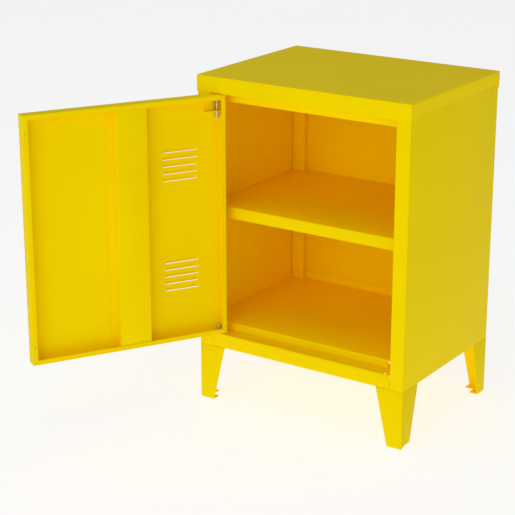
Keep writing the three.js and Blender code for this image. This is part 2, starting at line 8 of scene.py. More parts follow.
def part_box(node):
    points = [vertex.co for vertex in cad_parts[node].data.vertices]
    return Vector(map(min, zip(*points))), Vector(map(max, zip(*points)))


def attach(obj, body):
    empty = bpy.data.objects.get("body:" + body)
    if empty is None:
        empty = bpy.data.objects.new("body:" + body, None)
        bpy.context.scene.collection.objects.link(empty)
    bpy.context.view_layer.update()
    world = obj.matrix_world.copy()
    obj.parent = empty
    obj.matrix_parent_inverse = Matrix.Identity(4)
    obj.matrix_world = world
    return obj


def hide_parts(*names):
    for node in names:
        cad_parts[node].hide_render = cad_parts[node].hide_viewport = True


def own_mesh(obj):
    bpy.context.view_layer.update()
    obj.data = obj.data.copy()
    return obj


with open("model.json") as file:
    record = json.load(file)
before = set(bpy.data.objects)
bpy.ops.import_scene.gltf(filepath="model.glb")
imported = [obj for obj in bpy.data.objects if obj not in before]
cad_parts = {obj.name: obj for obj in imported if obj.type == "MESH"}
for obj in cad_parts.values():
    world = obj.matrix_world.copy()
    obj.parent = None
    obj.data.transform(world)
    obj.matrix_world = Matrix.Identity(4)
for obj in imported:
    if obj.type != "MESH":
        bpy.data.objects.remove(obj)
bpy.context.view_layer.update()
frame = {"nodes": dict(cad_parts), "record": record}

mm = 0.001
gap = 0.3 * mm             # kept between CAD pieces that touch
nearest = 1e-6             # points nearer than this are one point
fineNearest = 1e-7
leastCorner = 0.02 * mm    # what a tray's inner rings keep of its rounded corners
record = frame["record"]
slotOf = {entry["node"]: entry["material_slot"] for entry in record["subparts"]}
bodyOf = {node: body for body, nodes in record["behaviour"]["bodies"].items() for node in nodes}
joints = {joint["name"]: joint for joint in record["behaviour"]["joints"]}

print("materials")

coat = {
    "colour": (0.985, 0.745, 0.0),
    "roughness": 0.5,
    "glossChange": 0.05,
    "peelSize": 1.6 * mm,       # width of one dimple of the powder's orange peel
    "peelDepth": 0.02 * mm,
    "shadeChange": 0.02,        # how much the colour drifts across a panel
    "driftSize": 160 * mm,
    "specular": 0.03,
    "specularTint": (1, 0.72, 0.05),
}
zinc = {
    "colour": (0.62, 0.63, 0.62),
    "metallic": 0.85,
    "smoothest": 0.24,
    "roughest": 0.42,
    "spangle": 2.5 * mm,
    "spangleChange": 0.15,
    "grain": 0.5 * mm,
    "grainDepth": 0.01 * mm,
}
speckle = {"shade": 0.9, "depth": 0.03 * mm}
noiseSpread = (0.3, 0.7)    # nearly all of a noise texture's values lie between these
bumpStrength = 0.6
plastic = {"colour": (0.78, 0.78, 0.74), "roughness": 0.5, "grain": 0.35 * mm}
ferrite = {"colour": (0.035, 0.035, 0.038), "roughness": 0.65, "grain": 0.25 * mm}


def startMaterial(name):
    material = bpy.data.materials.new(name)
    material.use_nodes = True
    nodes = material.node_tree.nodes
    coords = nodes.new("ShaderNodeTexCoord")
    return material, nodes, material.node_tree.links, nodes["Principled BSDF"], coords


def addNoise(nodes, links, coords, size, detail, roughness=0.5):
    noise = nodes.new("ShaderNodeTexNoise")
    noise.inputs["Scale"].default_value = 1 / size
    noise.inputs["Detail"].default_value = detail
    noise.inputs["Roughness"].default_value = roughness
    links.new(coords.outputs["Object"], noise.inputs["Vector"])
    return noise


def addRange(nodes, links, source, low, high):
    spread = nodes.new("ShaderNodeMapRange")
    spread.inputs["From Min"].default_value = noiseSpread[0]
    spread.inputs["From Max"].default_value = noiseSpread[1]
    spread.inputs["To Min"].default_value = low
    spread.inputs["To Max"].default_value = high
    links.new(source, spread.inputs["Value"])
    return spread.outputs["Result"]


def addBump(nodes, links, shader, height, depth):
    bump = nodes.new("ShaderNodeBump")
    bump.inputs["Strength"].default_value = bumpStrength
    bump.inputs["Distance"].default_value = depth
    links.new(height, bump.inputs["Height"])
    links.new(bump.outputs["Normal"], shader.inputs["Normal"])


def shade(colour, factor):
    return [min(part * factor, 1) for part in colour]


# Blends two colours into the shader's base colour.
def addTone(nodes, links, shader, factor, low, high):
    tone = nodes.new("ShaderNodeMix")
    tone.data_type = "RGBA"
    tone.inputs["A"].default_value = (*low, 1)
    tone.inputs["B"].default_value = (*high, 1)
    links.new(factor, tone.inputs["Factor"])
    links.new(tone.outputs["Result"], shader.inputs["Base Color"])


# Powder coat: a saturated yellow with a fine orange peel, a slow drift in shade,
# and a gloss that varies a little.
def powderCoat(name):
    material, nodes, links, shader, coords = startMaterial(name)
    colour = coat["colour"]
    drift = addNoise(nodes, links, coords, coat["driftSize"], 2)
    speck = addNoise(nodes, links, coords, coat["peelSize"] * 2, 3)
    addTone(nodes, links, shader, addRange(nodes, links, drift.outputs["Fac"], 0, 1),
            shade(colour, 1 - coat["shadeChange"]), shade(colour, 1 + coat["shadeChange"]))
    middle, change = coat["roughness"], coat["glossChange"]
    gloss = addRange(nodes, links, speck.outputs["Fac"], middle - change, middle + change)
    links.new(gloss, shader.inputs["Roughness"])
    peel = addNoise(nodes, links, coords, coat["peelSize"], 2)
    addBump(nodes, links, shader, peel.outputs["Fac"], coat["peelDepth"])
    shader.inputs["Specular IOR Level"].default_value = coat["specular"]
    shader.inputs["Specular Tint"].default_value = (*coat["specularTint"], 1)
    return material


def zincPlate():
    material, nodes, links, shader, coords = startMaterial("zincPlate")
    flakes = nodes.new("ShaderNodeTexVoronoi")
    flakes.inputs["Scale"].default_value = 1 / zinc["spangle"]
    links.new(coords.outputs["Object"], flakes.inputs["Vector"])
    colour, change = zinc["colour"], zinc["spangleChange"]
    darker, lighter = shade(colour, 1 - change), shade(colour, 1 + change)
    addTone(nodes, links, shader, flakes.outputs["Distance"], darker, lighter)
    fine = addNoise(nodes, links, coords, zinc["grain"], 3)
    links.new(addRange(nodes, links, fine.outputs["Fac"], zinc["smoothest"], zinc["roughest"]),
              shader.inputs["Roughness"])
    addBump(nodes, links, shader, fine.outputs["Fac"], zinc["grainDepth"])
    shader.inputs["Metallic"].default_value = zinc["metallic"]
    return material


def grained(name, look):
    material, nodes, links, shader, coords = startMaterial(name)
    grain = addNoise(nodes, links, coords, look["grain"], 3)
    darker = shade(look["colour"], speckle["shade"])
    addTone(nodes, links, shader, grain.outputs["Fac"], darker, look["colour"])
    addBump(nodes, links, shader, grain.outputs["Fac"], speckle["depth"])
    shader.inputs["Roughness"].default_value = look["roughness"]
    return material


materials = {
    "case_coat": powderCoat("caseCoat"),
    "door_coat": powderCoat("doorCoat"),
    "zinc": zincPlate(),
    "catch_plastic": grained("catchPlastic", plastic),
    "magnet": grained("ferrite", ferrite),
}


def linkNew(name, mesh):
    piece = bpy.data.objects.new(name, mesh)
    bpy.context.scene.collection.objects.link(piece)
    return piece


def toMesh(bm, name):
    mesh = bpy.data.meshes.new(name)
    bm.to_mesh(mesh)
    bm.free()
    return mesh


# A closed mesh from bmesh: doubles merged, faces turned outwards, curves smooth and edges crisp.
def closeMesh(bm, name, merge=nearest, crease=32):
    bmesh.ops.remove_doubles(bm, verts=bm.verts, dist=merge)
    bmesh.ops.recalc_face_normals(bm, faces=bm.faces)
    mesh = toMesh(bm, name)
    mesh.shade_smooth()
    mesh.set_sharp_from_angle(angle=math.radians(crease))
    return mesh


# Settles a piece's modifiers into a plain mesh and takes them off.
def bake(piece, crease=32):
    depsgraph = bpy.context.evaluated_depsgraph_get()
    mesh = bpy.data.meshes.new_from_object(piece.evaluated_get(depsgraph))
    piece.modifiers.clear()
    piece.data = mesh
    mesh.shade_smooth()
    mesh.set_sharp_from_angle(angle=math.radians(crease))


# Every finished piece: its finish, the body that it moves with, and the CAD nodes that it stands for.
def finishPiece(piece, *nodes):
    slot = slotOf[nodes[0]]
    piece.data.materials.clear()
    piece.data.materials.append(materials[slot])
    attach(piece, bodyOf[nodes[0]])
    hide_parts(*nodes)


def subtract(piece, cutterMesh):
    cutter = linkNew("cutter", cutterMesh)
    modifier = piece.modifiers.new("cut", "BOOLEAN")
    modifier.object = cutter
    modifier.solver = "EXACT"
    bake(piece)
    bpy.data.objects.remove(cutter)


# A rounded rectangle, as points around it.
def roundedLoop(low, high, radius, steps):
    points = []
    corners = (
        (high[0], low[1], -90),
        (high[0], high[1], 0),
        (low[0], high[1], 90),
        (low[0], low[1], 180),
    )
    for cx, cy, start in corners:
        centre = (cx + (radius if cx == low[0] else -radius), cy + (radius if cy == low[1] else -radius))
        for i in range(steps + 1):
            angle = math.radians(start + 90 * i / steps)
            points.append((centre[0] + radius * math.cos(angle), centre[1] + radius * math.sin(angle)))
    return points


# A pressed tray: a profile of (inset, depth) carried round a rounded rectangle,
# with a flat face at each end of it.
def pressedTray(name, low, high, profile, cornerRadius, cornerSteps, placeAt):
    bm = bmesh.new()
    rings = []
    for inset, depth in profile:
        near, far = (low[0] + inset, low[1] + inset), (high[0] - inset, high[1] - inset)
        loop = roundedLoop(near, far, max(cornerRadius - inset, leastCorner), cornerSteps)
        rings.append([bm.verts.new(placeAt(u, v, depth)) for u, v in loop])
    count = len(rings[0])
    for ring, following in zip(rings, rings[1:]):
        for i in range(count):
            j = (i + 1) % count
            bm.faces.new((ring[i], ring[j], following[j], following[i]))
    bm.faces.new(rings[0])
    bm.faces.new(rings[-1])
    return closeMesh(bm, name, merge=fineNearest)


# A solid between two loops that have the same number of points.
def prism(name, near, far):
    bm = bmesh.new()
    ends = [[bm.verts.new(spot) for spot in loop] for loop in (near, far)]
    bm.faces.new(ends[0])
    bm.faces.new(ends[1])
    for i in range(len(near)):
        j = (i + 1) % len(near)
        bm.faces.new((ends[0][i], ends[0][j], ends[1][j], ends[1][i]))
    return closeMesh(bm, name)


# Points of an arc, for a bend in a tray's profile or the rounded end of a turned one.
def bendPoints(centre, radius, startAngle, endAngle, steps=6):
    points = []
    for i in range(steps + 1):
        angle = math.radians(startAngle + (endAngle - startAngle) * i / steps)
        points.append((centre[0] + radius * math.cos(angle), centre[1] + radius * math.sin(angle)))
    return points


# A turned piece: a profile of (radius, height) spun round an upright axis.
def turned(name, profile, axis, steps=40, crease=32):
    bm = bmesh.new()
    verts = [bm.verts.new((radius, 0, height)) for radius, height in profile]
    lines = [bm.edges.new(pair) for pair in zip(verts, verts[1:])]
    bmesh.ops.spin(bm, geom=verts + lines, cent=(0, 0, 0), axis=(0, 0, 1), angle=2 * math.pi,
                   steps=steps)
    bmesh.ops.translate(bm, verts=bm.verts, vec=(axis[0], axis[1], 0))
    return closeMesh(bm, name, crease=crease)


def boxMesh(low, high):
    bm = bmesh.new()
    bmesh.ops.create_cube(bm, size=1)
    for vert in bm.verts:
        for axis in range(3):
            vert.co[axis] = low[axis] if vert.co[axis] < 0 else high[axis]
    return toMesh(bm, "box")


def startTree(name, sockets):
    tree = bpy.data.node_groups.new(name, "GeometryNodeTree")
    tree.interface.new_socket("Geometry", in_out="INPUT", socket_type="NodeSocketGeometry")
    for label, kind in sockets:
        tree.interface.new_socket(label, in_out="INPUT", socket_type="NodeSocket" + kind)
    tree.interface.new_socket("Geometry", in_out="OUTPUT", socket_type="NodeSocketGeometry")
    return tree, tree.nodes.new("NodeGroupInput"), tree.nodes.new("NodeGroupOutput")


def applyTree(piece, tree, values):
    modifier = piece.modifiers.new(tree.name, "NODES")
    modifier.node_group = tree
    for socket in tree.interface.items_tree:
        if socket.in_out == "INPUT" and socket.name in values:
            modifier[socket.identifier] = values[socket.name]
    piece.update_tag()


# Puts a copy of one object on every point of the piece, turned about the upright by a seeded amount.
def scatterTree():
    tree, given, result = startTree("fastenerSet", [
        ("Fastener", "Object"), ("Most Turn", "Float"), ("Seed", "Int"), ("Finish", "Material")])
    nodes, link = tree.nodes, tree.links.new
    info = nodes.new("GeometryNodeObjectInfo")
    turn = nodes.new("FunctionNodeRandomValue")
    combine = nodes.new("ShaderNodeCombineXYZ")
    points = nodes.new("GeometryNodeMeshToPoints")
    place = nodes.new("GeometryNodeInstanceOnPoints")
    real = nodes.new("GeometryNodeRealizeInstances")
    finish = nodes.new("GeometryNodeSetMaterial")
    link(given.outputs["Geometry"], points.inputs["Mesh"])
    link(given.outputs["Fastener"], info.inputs["Object"])
    link(given.outputs["Most Turn"], turn.inputs[3])
    link(given.outputs["Seed"], turn.inputs["Seed"])
    link(turn.outputs[1], combine.inputs["Z"])
    link(points.outputs["Points"], place.inputs["Points"])
    link(info.outputs["Geometry"], place.inputs["Instance"])
    link(combine.outputs["Vector"], place.inputs["Rotation"])
    link(place.outputs["Instances"], real.inputs["Geometry"])
    link(real.outputs["Geometry"], finish.inputs["Geometry"])
    link(given.outputs["Finish"], finish.inputs["Material"])
    link(finish.outputs["Geometry"], result.inputs["Geometry"])
    return tree


# Two groups of louvres in a panel, one over the other: a slot cut for each, and a hood standing over it.
def louvreTree():
    tree, given, result = startTree("louvreRows", [
        ("Hood", "Object"), ("Slot", "Object"), ("Count", "Int"), ("Pitch", "Float"),
        ("Group Pitch", "Float"), ("Finish", "Material")])
    nodes, link = tree.nodes, tree.links.new
    rowStep = nodes.new("ShaderNodeCombineXYZ")
    groupStep = nodes.new("ShaderNodeCombineXYZ")
    row = nodes.new("GeometryNodeMeshLine")
    groups = nodes.new("GeometryNodeMeshLine")
    groups.inputs["Count"].default_value = 2
    spread = nodes.new("GeometryNodeInstanceOnPoints")
    spots = nodes.new("GeometryNodeRealizeInstances")
    link(given.outputs["Pitch"], rowStep.inputs["Z"])
    link(given.outputs["Group Pitch"], groupStep.inputs["Z"])
    link(given.outputs["Count"], row.inputs["Count"])
    link(rowStep.outputs["Vector"], row.inputs["Offset"])
    link(groupStep.outputs["Vector"], groups.inputs["Offset"])
    link(groups.outputs["Mesh"], spread.inputs["Points"])
    link(row.outputs["Mesh"], spread.inputs["Instance"])
    link(spread.outputs["Instances"], spots.inputs["Geometry"])
    copies = {}
    for label in ("Slot", "Hood"):
        info = nodes.new("GeometryNodeObjectInfo")
        place = nodes.new("GeometryNodeInstanceOnPoints")
        real = nodes.new("GeometryNodeRealizeInstances")
        link(given.outputs[label], info.inputs["Object"])
        link(spots.outputs["Geometry"], place.inputs["Points"])
        link(info.outputs["Geometry"], place.inputs["Instance"])
        link(place.outputs["Instances"], real.inputs["Geometry"])
        copies[label] = real.outputs["Geometry"]
    cut = nodes.new("GeometryNodeMeshBoolean")
    cut.operation = "DIFFERENCE"
    cut.solver = "EXACT"
    weld = nodes.new("GeometryNodeMeshBoolean")
    weld.operation = "UNION"
    weld.solver = "EXACT"
    real = nodes.new("GeometryNodeRealizeInstances")
    finish = nodes.new("GeometryNodeSetMaterial")
    link(given.outputs["Geometry"], cut.inputs["Mesh 1"])
    link(copies["Slot"], cut.inputs["Mesh 2"])
    link(cut.outputs["Mesh"], weld.inputs["Mesh 2"])
    link(copies["Hood"], weld.inputs["Mesh 2"])
    link(weld.outputs["Mesh"], real.inputs["Geometry"])
    link(real.outputs["Geometry"], finish.inputs["Geometry"])
    link(given.outputs["Finish"], finish.inputs["Material"])
    link(finish.outputs["Geometry"], result.inputs["Geometry"])
    return tree


# A round wire wound into a coil.
def coilTree():
    tree, given, result = startTree("coil", [
        ("Turns", "Float"), ("Radius", "Float"), ("Height", "Float"), ("Wire", "Float"),
        ("Finish", "Material")])
    nodes, link = tree.nodes, tree.links.new
    spiral = nodes.new("GeometryNodeCurveSpiral")
    spiral.inputs["Resolution"].default_value = spring["stepsPerTurn"]
    circle = nodes.new("GeometryNodeCurvePrimitiveCircle")
    circle.inputs["Resolution"].default_value = spring["wireSides"]
    tube = nodes.new("GeometryNodeCurveToMesh")
    tube.inputs["Fill Caps"].default_value = True
    real = nodes.new("GeometryNodeRealizeInstances")
    finish = nodes.new("GeometryNodeSetMaterial")
    link(given.outputs["Turns"], spiral.inputs["Rotations"])
    link(given.outputs["Radius"], spiral.inputs["Start Radius"])
    link(given.outputs["Radius"], spiral.inputs["End Radius"])
    link(given.outputs["Height"], spiral.inputs["Height"])
    link(given.outputs["Wire"], circle.inputs["Radius"])
    link(spiral.outputs["Curve"], tube.inputs["Curve"])
    link(circle.outputs["Curve"], tube.inputs["Profile Curve"])
    link(tube.outputs["Mesh"], real.inputs["Geometry"])
    link(real.outputs["Geometry"], finish.inputs["Geometry"])
    link(given.outputs["Finish"], finish.inputs["Material"])
    link(finish.outputs["Geometry"], result.inputs["Geometry"])
    return tree


print("case sheets")

edges = {
    "rounding": 0.2 * mm,     # how far powder rounds the raw edges of the sheet
    "segments": 2,
    "flattest": 1,            # degrees; a shallower edge is only a line between triangles, and goes
    "bluntest": 50,           # degrees; a shallower edge is part of a bend, and stays as it is
    "railReach": 0.28 * mm,   # what the rails gain at each end
}


# A sheet of the case in its CAD shape, with its bends smoothed and its raw edges rounded over.
# A rail's two ends are moved out by a reach, to close on the posts that they are welded to.
def softSheet(name, node, reach=0):
    bm = bmesh.new()
    bm.from_mesh(frame["nodes"][node].data)
    low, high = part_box(node)
    for vert in bm.verts:
        if vert.co.x < low.x + gap:
            vert.co.x -= reach
        elif vert.co.x > high.x - gap:
            vert.co.x += reach
    bmesh.ops.remove_doubles(bm, verts=bm.verts, dist=nearest)
    flattest = math.radians(edges["flattest"])
    bmesh.ops.dissolve_limit(bm, angle_limit=flattest, verts=bm.verts, edges=bm.edges)
    piece = linkNew(name, toMesh(bm, name))
    modifier = piece.modifiers.new("edges", "BEVEL")
    modifier.width = edges["rounding"]
    modifier.segments = edges["segments"]
    modifier.limit_method = "ANGLE"
    modifier.angle_limit = math.radians(edges["bluntest"])
    modifier.use_clamp_overlap = True
    bake(piece)
    finishPiece(piece, node)


caseSheets = {
    "leftSide": "left_side_panel",
    "rightSide": "right_side_panel",
    "back": "back_panel",
    "topRail": "top_front_rail",
    "bottomRail": "bottom_front_rail",
    "rearRail": "bottom_rear_rail",
    "baseShelf": "base_shelf",
    "middleShelf": "middle_shelf",
    "frontLeftClip": "front_left_shelf_clip",
    "frontRightClip": "front_right_shelf_clip",
    "rearLeftClip": "rear_left_shelf_clip",
    "rearRightClip": "rear_right_shelf_clip",
    "frontLeftLeg": "front_left_leg",
    "frontRightLeg": "front_right_leg",
    "rearLeftLeg": "rear_left_leg",
    "rearRightLeg": "rear_right_leg",
    "hingeBracket": "top_hinge_bracket",
    "doorStiffener": "door_stiffener",
    "catchFrame": "catch_frame",
    "catchMagnet": "catch_magnet",
}
for pieceName, nodeName in caseSheets.items():
    softSheet(pieceName, nodeName, reach=edges["railReach"] if nodeName.endswith("_rail") else 0)


print("top cover")

cover = {
    "sheet": 0.8 * mm,
    "bend": 1.3 * mm,
    "corner": 2 * mm,
    "cornerSteps": 6,
    "relief": 5.5 * mm,          # how far a side skirt is cut up between its ends
    "reliefStart": 8 * mm,
    "reliefSlope": 10 * mm,
}


def topCover():
    low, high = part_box("top_cover")
    sheet, bend = cover["sheet"], cover["bend"]
    height = high.z - low.z
    profile = [(2 * bend, 0)]
    profile += bendPoints((bend, bend), bend, 270, 180)
    profile += [(0, height), (sheet, height)]
    profile += bendPoints((bend, bend), bend - sheet, 180, 270)
    profile += [(2 * bend, sheet)]
    mesh = pressedTray("topCover", low, high, profile, cover["corner"], cover["cornerSteps"],
                       lambda u, v, depth: (u, v, high.z - depth))
    piece = linkNew("topCover", mesh)
    subtract(piece, reliefCutter(low, high))
    finishPiece(piece, "top_cover")


# The side skirts are cut up between their ends.
def reliefCutter(low, high):
    front, back = low.y + cover["reliefStart"], high.y - cover["reliefStart"]
    slope, top = cover["reliefSlope"], low.z + cover["relief"]
    outline = [(front, low.z - mm), (back, low.z - mm), (back, low.z), (back - slope, top),
               (front + slope, top), (front, low.z)]
    return prism("relief", *[[(x, y, z) for y, z in outline] for x in (low.x - mm, high.x + mm)])


topCover()


print("door")

door = {
    "sheet": 0.8 * mm,
    "bend": 1.3 * mm,
    "depth": 21.1 * mm,
    "return": 8 * mm,
    "sideGap": 1.7 * mm,
    "hingeInset": 8.5 * mm,      # hinge edge to the hinge axis
    "hingeSetback": 4.6 * mm,    # outer skin to the hinge axis
    "pivotHole": 2.5 * mm,
    "bufferHole": 1.5 * mm,
    "bufferInset": 30 * mm,
    "mitreSlit": 0.35 * mm,
    "corner": 0.3 * mm,
    "cornerSteps": 1,
    "holeCut": 4 * mm,           # length of the rods that cut the holes
    "slitCut": 3 * mm,
}
louvre = {
    "start": 41.5 * mm,          # hinge edge to the louvres
    "length": 63.5 * mm,
    "height": 7.5 * mm,
    "rise": 4 * mm,
    "pitch": 12.1 * mm,
    "count": 5,
    "margin": 84 * mm,           # lowest slot to the door's bottom, highest hood to its top
    "slotTrim": 0.01 * mm,       # what the slot is smaller than the hood's inside
    "slotOut": 0.3 * mm,         # how far its cutter stands out of the skin
    "slotIn": 2 * mm,
}
hinge = joints["door_hinge"]
openAngle = math.radians(hinge["range_deg"][1])
hingeAt = Vector((hinge["pos_m"][0], hinge["pos_m"][1], 0))
doorPlace = Matrix.Translation(hingeAt) @ Matrix.Rotation(-openAngle, 4, "Z")
doorLow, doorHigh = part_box("door_panel")
railLow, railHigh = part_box("top_front_rail")
# It fills the space between the posts.
doorWidth = railHigh.x - railLow.x + 2 * gap - 2 * door["sideGap"]


# The door lies closed about its hinge axis while it is made, and is set open at the end.
def doorPanel():
    x0 = -door["hingeInset"]
    x1 = x0 + doorWidth
    y0 = -door["hingeSetback"]
    sheet, bend, depth, fold = door["sheet"], door["bend"], door["depth"], door["return"]
    profile = [(2 * bend, 0)]
    profile += bendPoints((bend, bend), bend, 270, 180)
    profile += bendPoints((bend, depth - bend), bend, 180, 90)
    profile += [(fold, depth), (fold, depth - sheet)]
    profile += bendPoints((bend, depth - bend), bend - sheet, 90, 180)
    profile += bendPoints((bend, bend), bend - sheet, 180, 270)
    profile += [(2 * bend, sheet)]
    mesh = pressedTray("doorPanel", (x0, doorLow.z), (x1, doorHigh.z), profile, door["corner"],
                       door["cornerSteps"], lambda u, v, inward: (u, y0 + inward, v))
    piece = linkNew("doorPanel", mesh)
    subtract(piece, doorHoles(x0, x1, y0))
    hood = linkNew("hood", hoodMesh(x0, y0))
    slot = linkNew("slot", slotMesh(x0, y0))
    groupHeight = (louvre["count"] - 1) * louvre["pitch"] + louvre["height"]
    upperGroup = doorHigh.z - louvre["margin"] - groupHeight
    applyTree(piece, louvreTree(), {
        "Hood": hood, "Slot": slot, "Count": louvre["count"], "Pitch": louvre["pitch"],
        "Group Pitch": upperGroup - doorLow.z - louvre["margin"], "Finish": materials["door_coat"]})
    bake(piece)
    for helper in (hood, slot):
        bpy.data.objects.remove(helper)
    piece.data.transform(doorPlace)
    finishPiece(piece, "door_panel")


# Pivot holes in the top and bottom, buffer holes in the free edge, and the slits where the returns meet.
def doorHoles(x0, x1, y0):
    bm = bmesh.new()
    inner = y0 + door["depth"]

    def addRod(radius, matrix):
        bmesh.ops.create_cone(bm, cap_ends=True, segments=32, radius1=radius, radius2=radius,
                              depth=door["holeCut"], matrix=matrix)

    for z in (doorLow.z, doorHigh.z):
        addRod(door["pivotHole"], Matrix.Translation((0, 0, z)))
    for z in (doorLow.z + door["bufferInset"], doorHigh.z - door["bufferInset"]):
        spot = Matrix.Translation((x1 - door["return"] / 2, inner, z))
        addRod(door["bufferHole"], spot @ Matrix.Rotation(math.pi / 2, 4, "X"))
    start = door["bend"] + door["sheet"]
    length = (door["return"] + mm - start) * math.sqrt(2)
    for x, inX in ((x0, 1), (x1, -1)):
        for z, inZ in ((doorLow.z, 1), (doorHigh.z, -1)):
            turn = Matrix.Rotation(-math.atan2(inZ, inX), 4, "Y")
            spot = Matrix.Translation((x + inX * start, inner, z + inZ * start)) @ turn
            size = Matrix.Diagonal((length, door["slitCut"], door["mitreSlit"], 1))
            along = Matrix.Translation((length / 2, 0, 0))
            bmesh.ops.create_cube(bm, size=1, matrix=spot @ along @ size)
    return toMesh(bm, "doorHoles")


# The outline of a louvre: straight below, straight above, and round at its ends.
def louvreOutline(shrink, steps=10):
    radius = louvre["height"] - shrink
    straight = louvre["length"] / 2 - louvre["height"]
    for end, first in ((1, 0), (-1, 90)):
        for i in range(steps + 1):
            angle = math.radians(first + 90 * i / steps)
            yield end * straight, radius * math.cos(angle), radius * math.sin(angle)


# One hood, of sheet thickness: rounded over its top and ends, and open below.
def hoodMesh(x0, y0, steps=8):
    bm = bmesh.new()
    middle = x0 + louvre["start"] + louvre["length"] / 2
    base = doorLow.z + louvre["margin"]
    root = door["sheet"] * 0.5
    shells = []
    for shrink in (0, door["sheet"]):
        rise = louvre["rise"] - shrink
        grid = []
        for cx, dx, dz in louvreOutline(shrink):
            column = [bm.verts.new((middle + cx + dx, y0 + root, base + dz))]
            for j in range(steps + 1):
                lean = math.radians(90 * j / steps)
                side, out = math.cos(lean), math.sin(lean)
                column.append(bm.verts.new((middle + cx + dx * side, y0 - rise * out, base + dz * side)))
            grid.append(column)
        shells.append(grid)
    outer, inner = shells
    for grid in shells:
        for left, right in zip(grid, grid[1:]):
            for j in range(steps + 1):
                bm.faces.new((left[j], right[j], right[j + 1], left[j + 1]))
    for i in range(len(outer) - 1):
        bm.faces.new((outer[i][0], outer[i + 1][0], inner[i + 1][0], inner[i][0]))
        bm.faces.new((outer[i][-1], outer[i + 1][-1], inner[i + 1][-1], inner[i][-1]))
    for i in (0, -1):
        for j in range(steps + 1):
            bm.faces.new((outer[i][j], outer[i][j + 1], inner[i][j + 1], inner[i][j]))
    bmesh.ops.remove_doubles(bm, verts=bm.verts, dist=fineNearest)
    bmesh.ops.dissolve_degenerate(bm, edges=bm.edges, dist=fineNearest)
    return closeMesh(bm, "hood")


def slotMesh(x0, y0):
    middle = x0 + louvre["start"] + louvre["length"] / 2
    base = doorLow.z + louvre["margin"]
    shrink = door["sheet"] + louvre["slotTrim"]
    outline = [(middle + cx + dx, base + dz) for cx, dx, dz in louvreOutline(shrink)]
    faces = (y0 - louvre["slotOut"], y0 + louvre["slotIn"])
    return prism("slot", *[[(x, y, z) for x, z in outline] for y in faces])


doorPanel()


print("hinge pins and spring")

pin = {
    "radius": 2.2 * mm,
    "knob": 3.3 * mm,
    "knobHeight": 6 * mm,
    "collarHeight": 1.4 * mm,
    "chamfer": 0.6 * mm,
    "grooves": (0.35, 0.65),      # where the two grip grooves lie up the knob
    "grooveDepth": 0.35 * mm,
    "grooveReach": 0.4 * mm,      # from a groove's middle to its edge
}
spring = {"turns": 7.0, "radius": 2.9 * mm, "wire": 0.38 * mm, "stepsPerTurn": 40, "wireSides": 12}


def topPin():
    low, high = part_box("top_hinge_pin")
    bottom, top = low.z, high.z
    r, knob, chamfer = pin["radius"], pin["knob"], pin["chamfer"]
    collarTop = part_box("hinge_spring")[1].z + gap + pin["collarHeight"]
    knobTop = bottom + pin["knobHeight"]
    profile = [(0, bottom), (knob - chamfer, bottom), (knob, bottom + chamfer)]
    for level in pin["grooves"]:
        z = bottom + level * pin["knobHeight"]
        reach = pin["grooveReach"]
        profile += [(knob, z - reach), (knob - pin["grooveDepth"], z), (knob, z + reach)]
    profile += [(knob, knobTop - chamfer), (knob - chamfer, knobTop), (r, knobTop)]
    collar = collarTop - pin["collarHeight"]
    profile += [(r, collar), (knob, collar), (knob, collarTop)]
    profile += [(r, collarTop), (r, top - chamfer)]
    profile += bendPoints((r - chamfer, top - chamfer), chamfer, 15, 90, steps=5)
    profile += [(0, top)]
    piece = linkNew("topPin", turned("topPin", profile, hingeAt))
    finishPiece(piece, "top_hinge_pin")


def hingeSpring():
    low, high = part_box("hinge_spring")
    piece = linkNew("hingeSpring", bpy.data.meshes.new("hingeSpring"))
    applyTree(piece, coilTree(), {
        "Turns": spring["turns"], "Radius": spring["radius"], "Wire": spring["wire"],
        "Height": high.z - low.z - 2 * spring["wire"], "Finish": materials["zinc"]})
    bake(piece, crease=60)
    piece.data.transform(Matrix.Translation((hingeAt.x, hingeAt.y, low.z + spring["wire"])))
    finishPiece(piece, "hinge_spring")
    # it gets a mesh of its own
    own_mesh(piece)


def bottomPin():
    low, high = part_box("bottom_hinge_pin")
    bottom, top = low.z, high.z
    r, dome, chamfer = pin["radius"], pin["knob"], pin["chamfer"]
    seat = doorLow.z + door["sheet"] + gap
    profile = [(0, bottom), (r - chamfer, bottom), (r, bottom + chamfer), (r, seat), (dome, seat)]
    profile += bendPoints((0, top - dome), dome, 0, 81, steps=9)
    profile += [(0, top)]
    piece = linkNew("bottomPin", turned("bottomPin", profile, hingeAt))
    finishPiece(piece, "bottom_hinge_pin")


topPin()
hingeSpring()
bottomPin()


print("leg fasteners")

screw = {
    "headHeight": 3.3 * mm,
    "domeShare": 0.72,            # of the head's height
    "shank": 3 * mm,
    "pitch": 1 * mm,
    "threadDepth": 0.45 * mm,
    "firstThread": 0.4,           # pitches from the head
    "point": 0.8 * mm,
    "recessWidth": 1.1 * mm,
    "recessReach": 0.55,          # of the head's radius
    "recessDepth": 1.7 * mm,
    "seed": 7,
}
nut = {"hole": 3.4 * mm, "chamfer": 0.5 * mm}
rivet = {"shank": 2.2 * mm, "dome": 1.6 * mm}
legNames = [f"{end}_{hand}" for end in ("front", "rear") for hand in ("left", "right")]


def middleOf(node):
    low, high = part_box(node)
    return (low + high) / 2


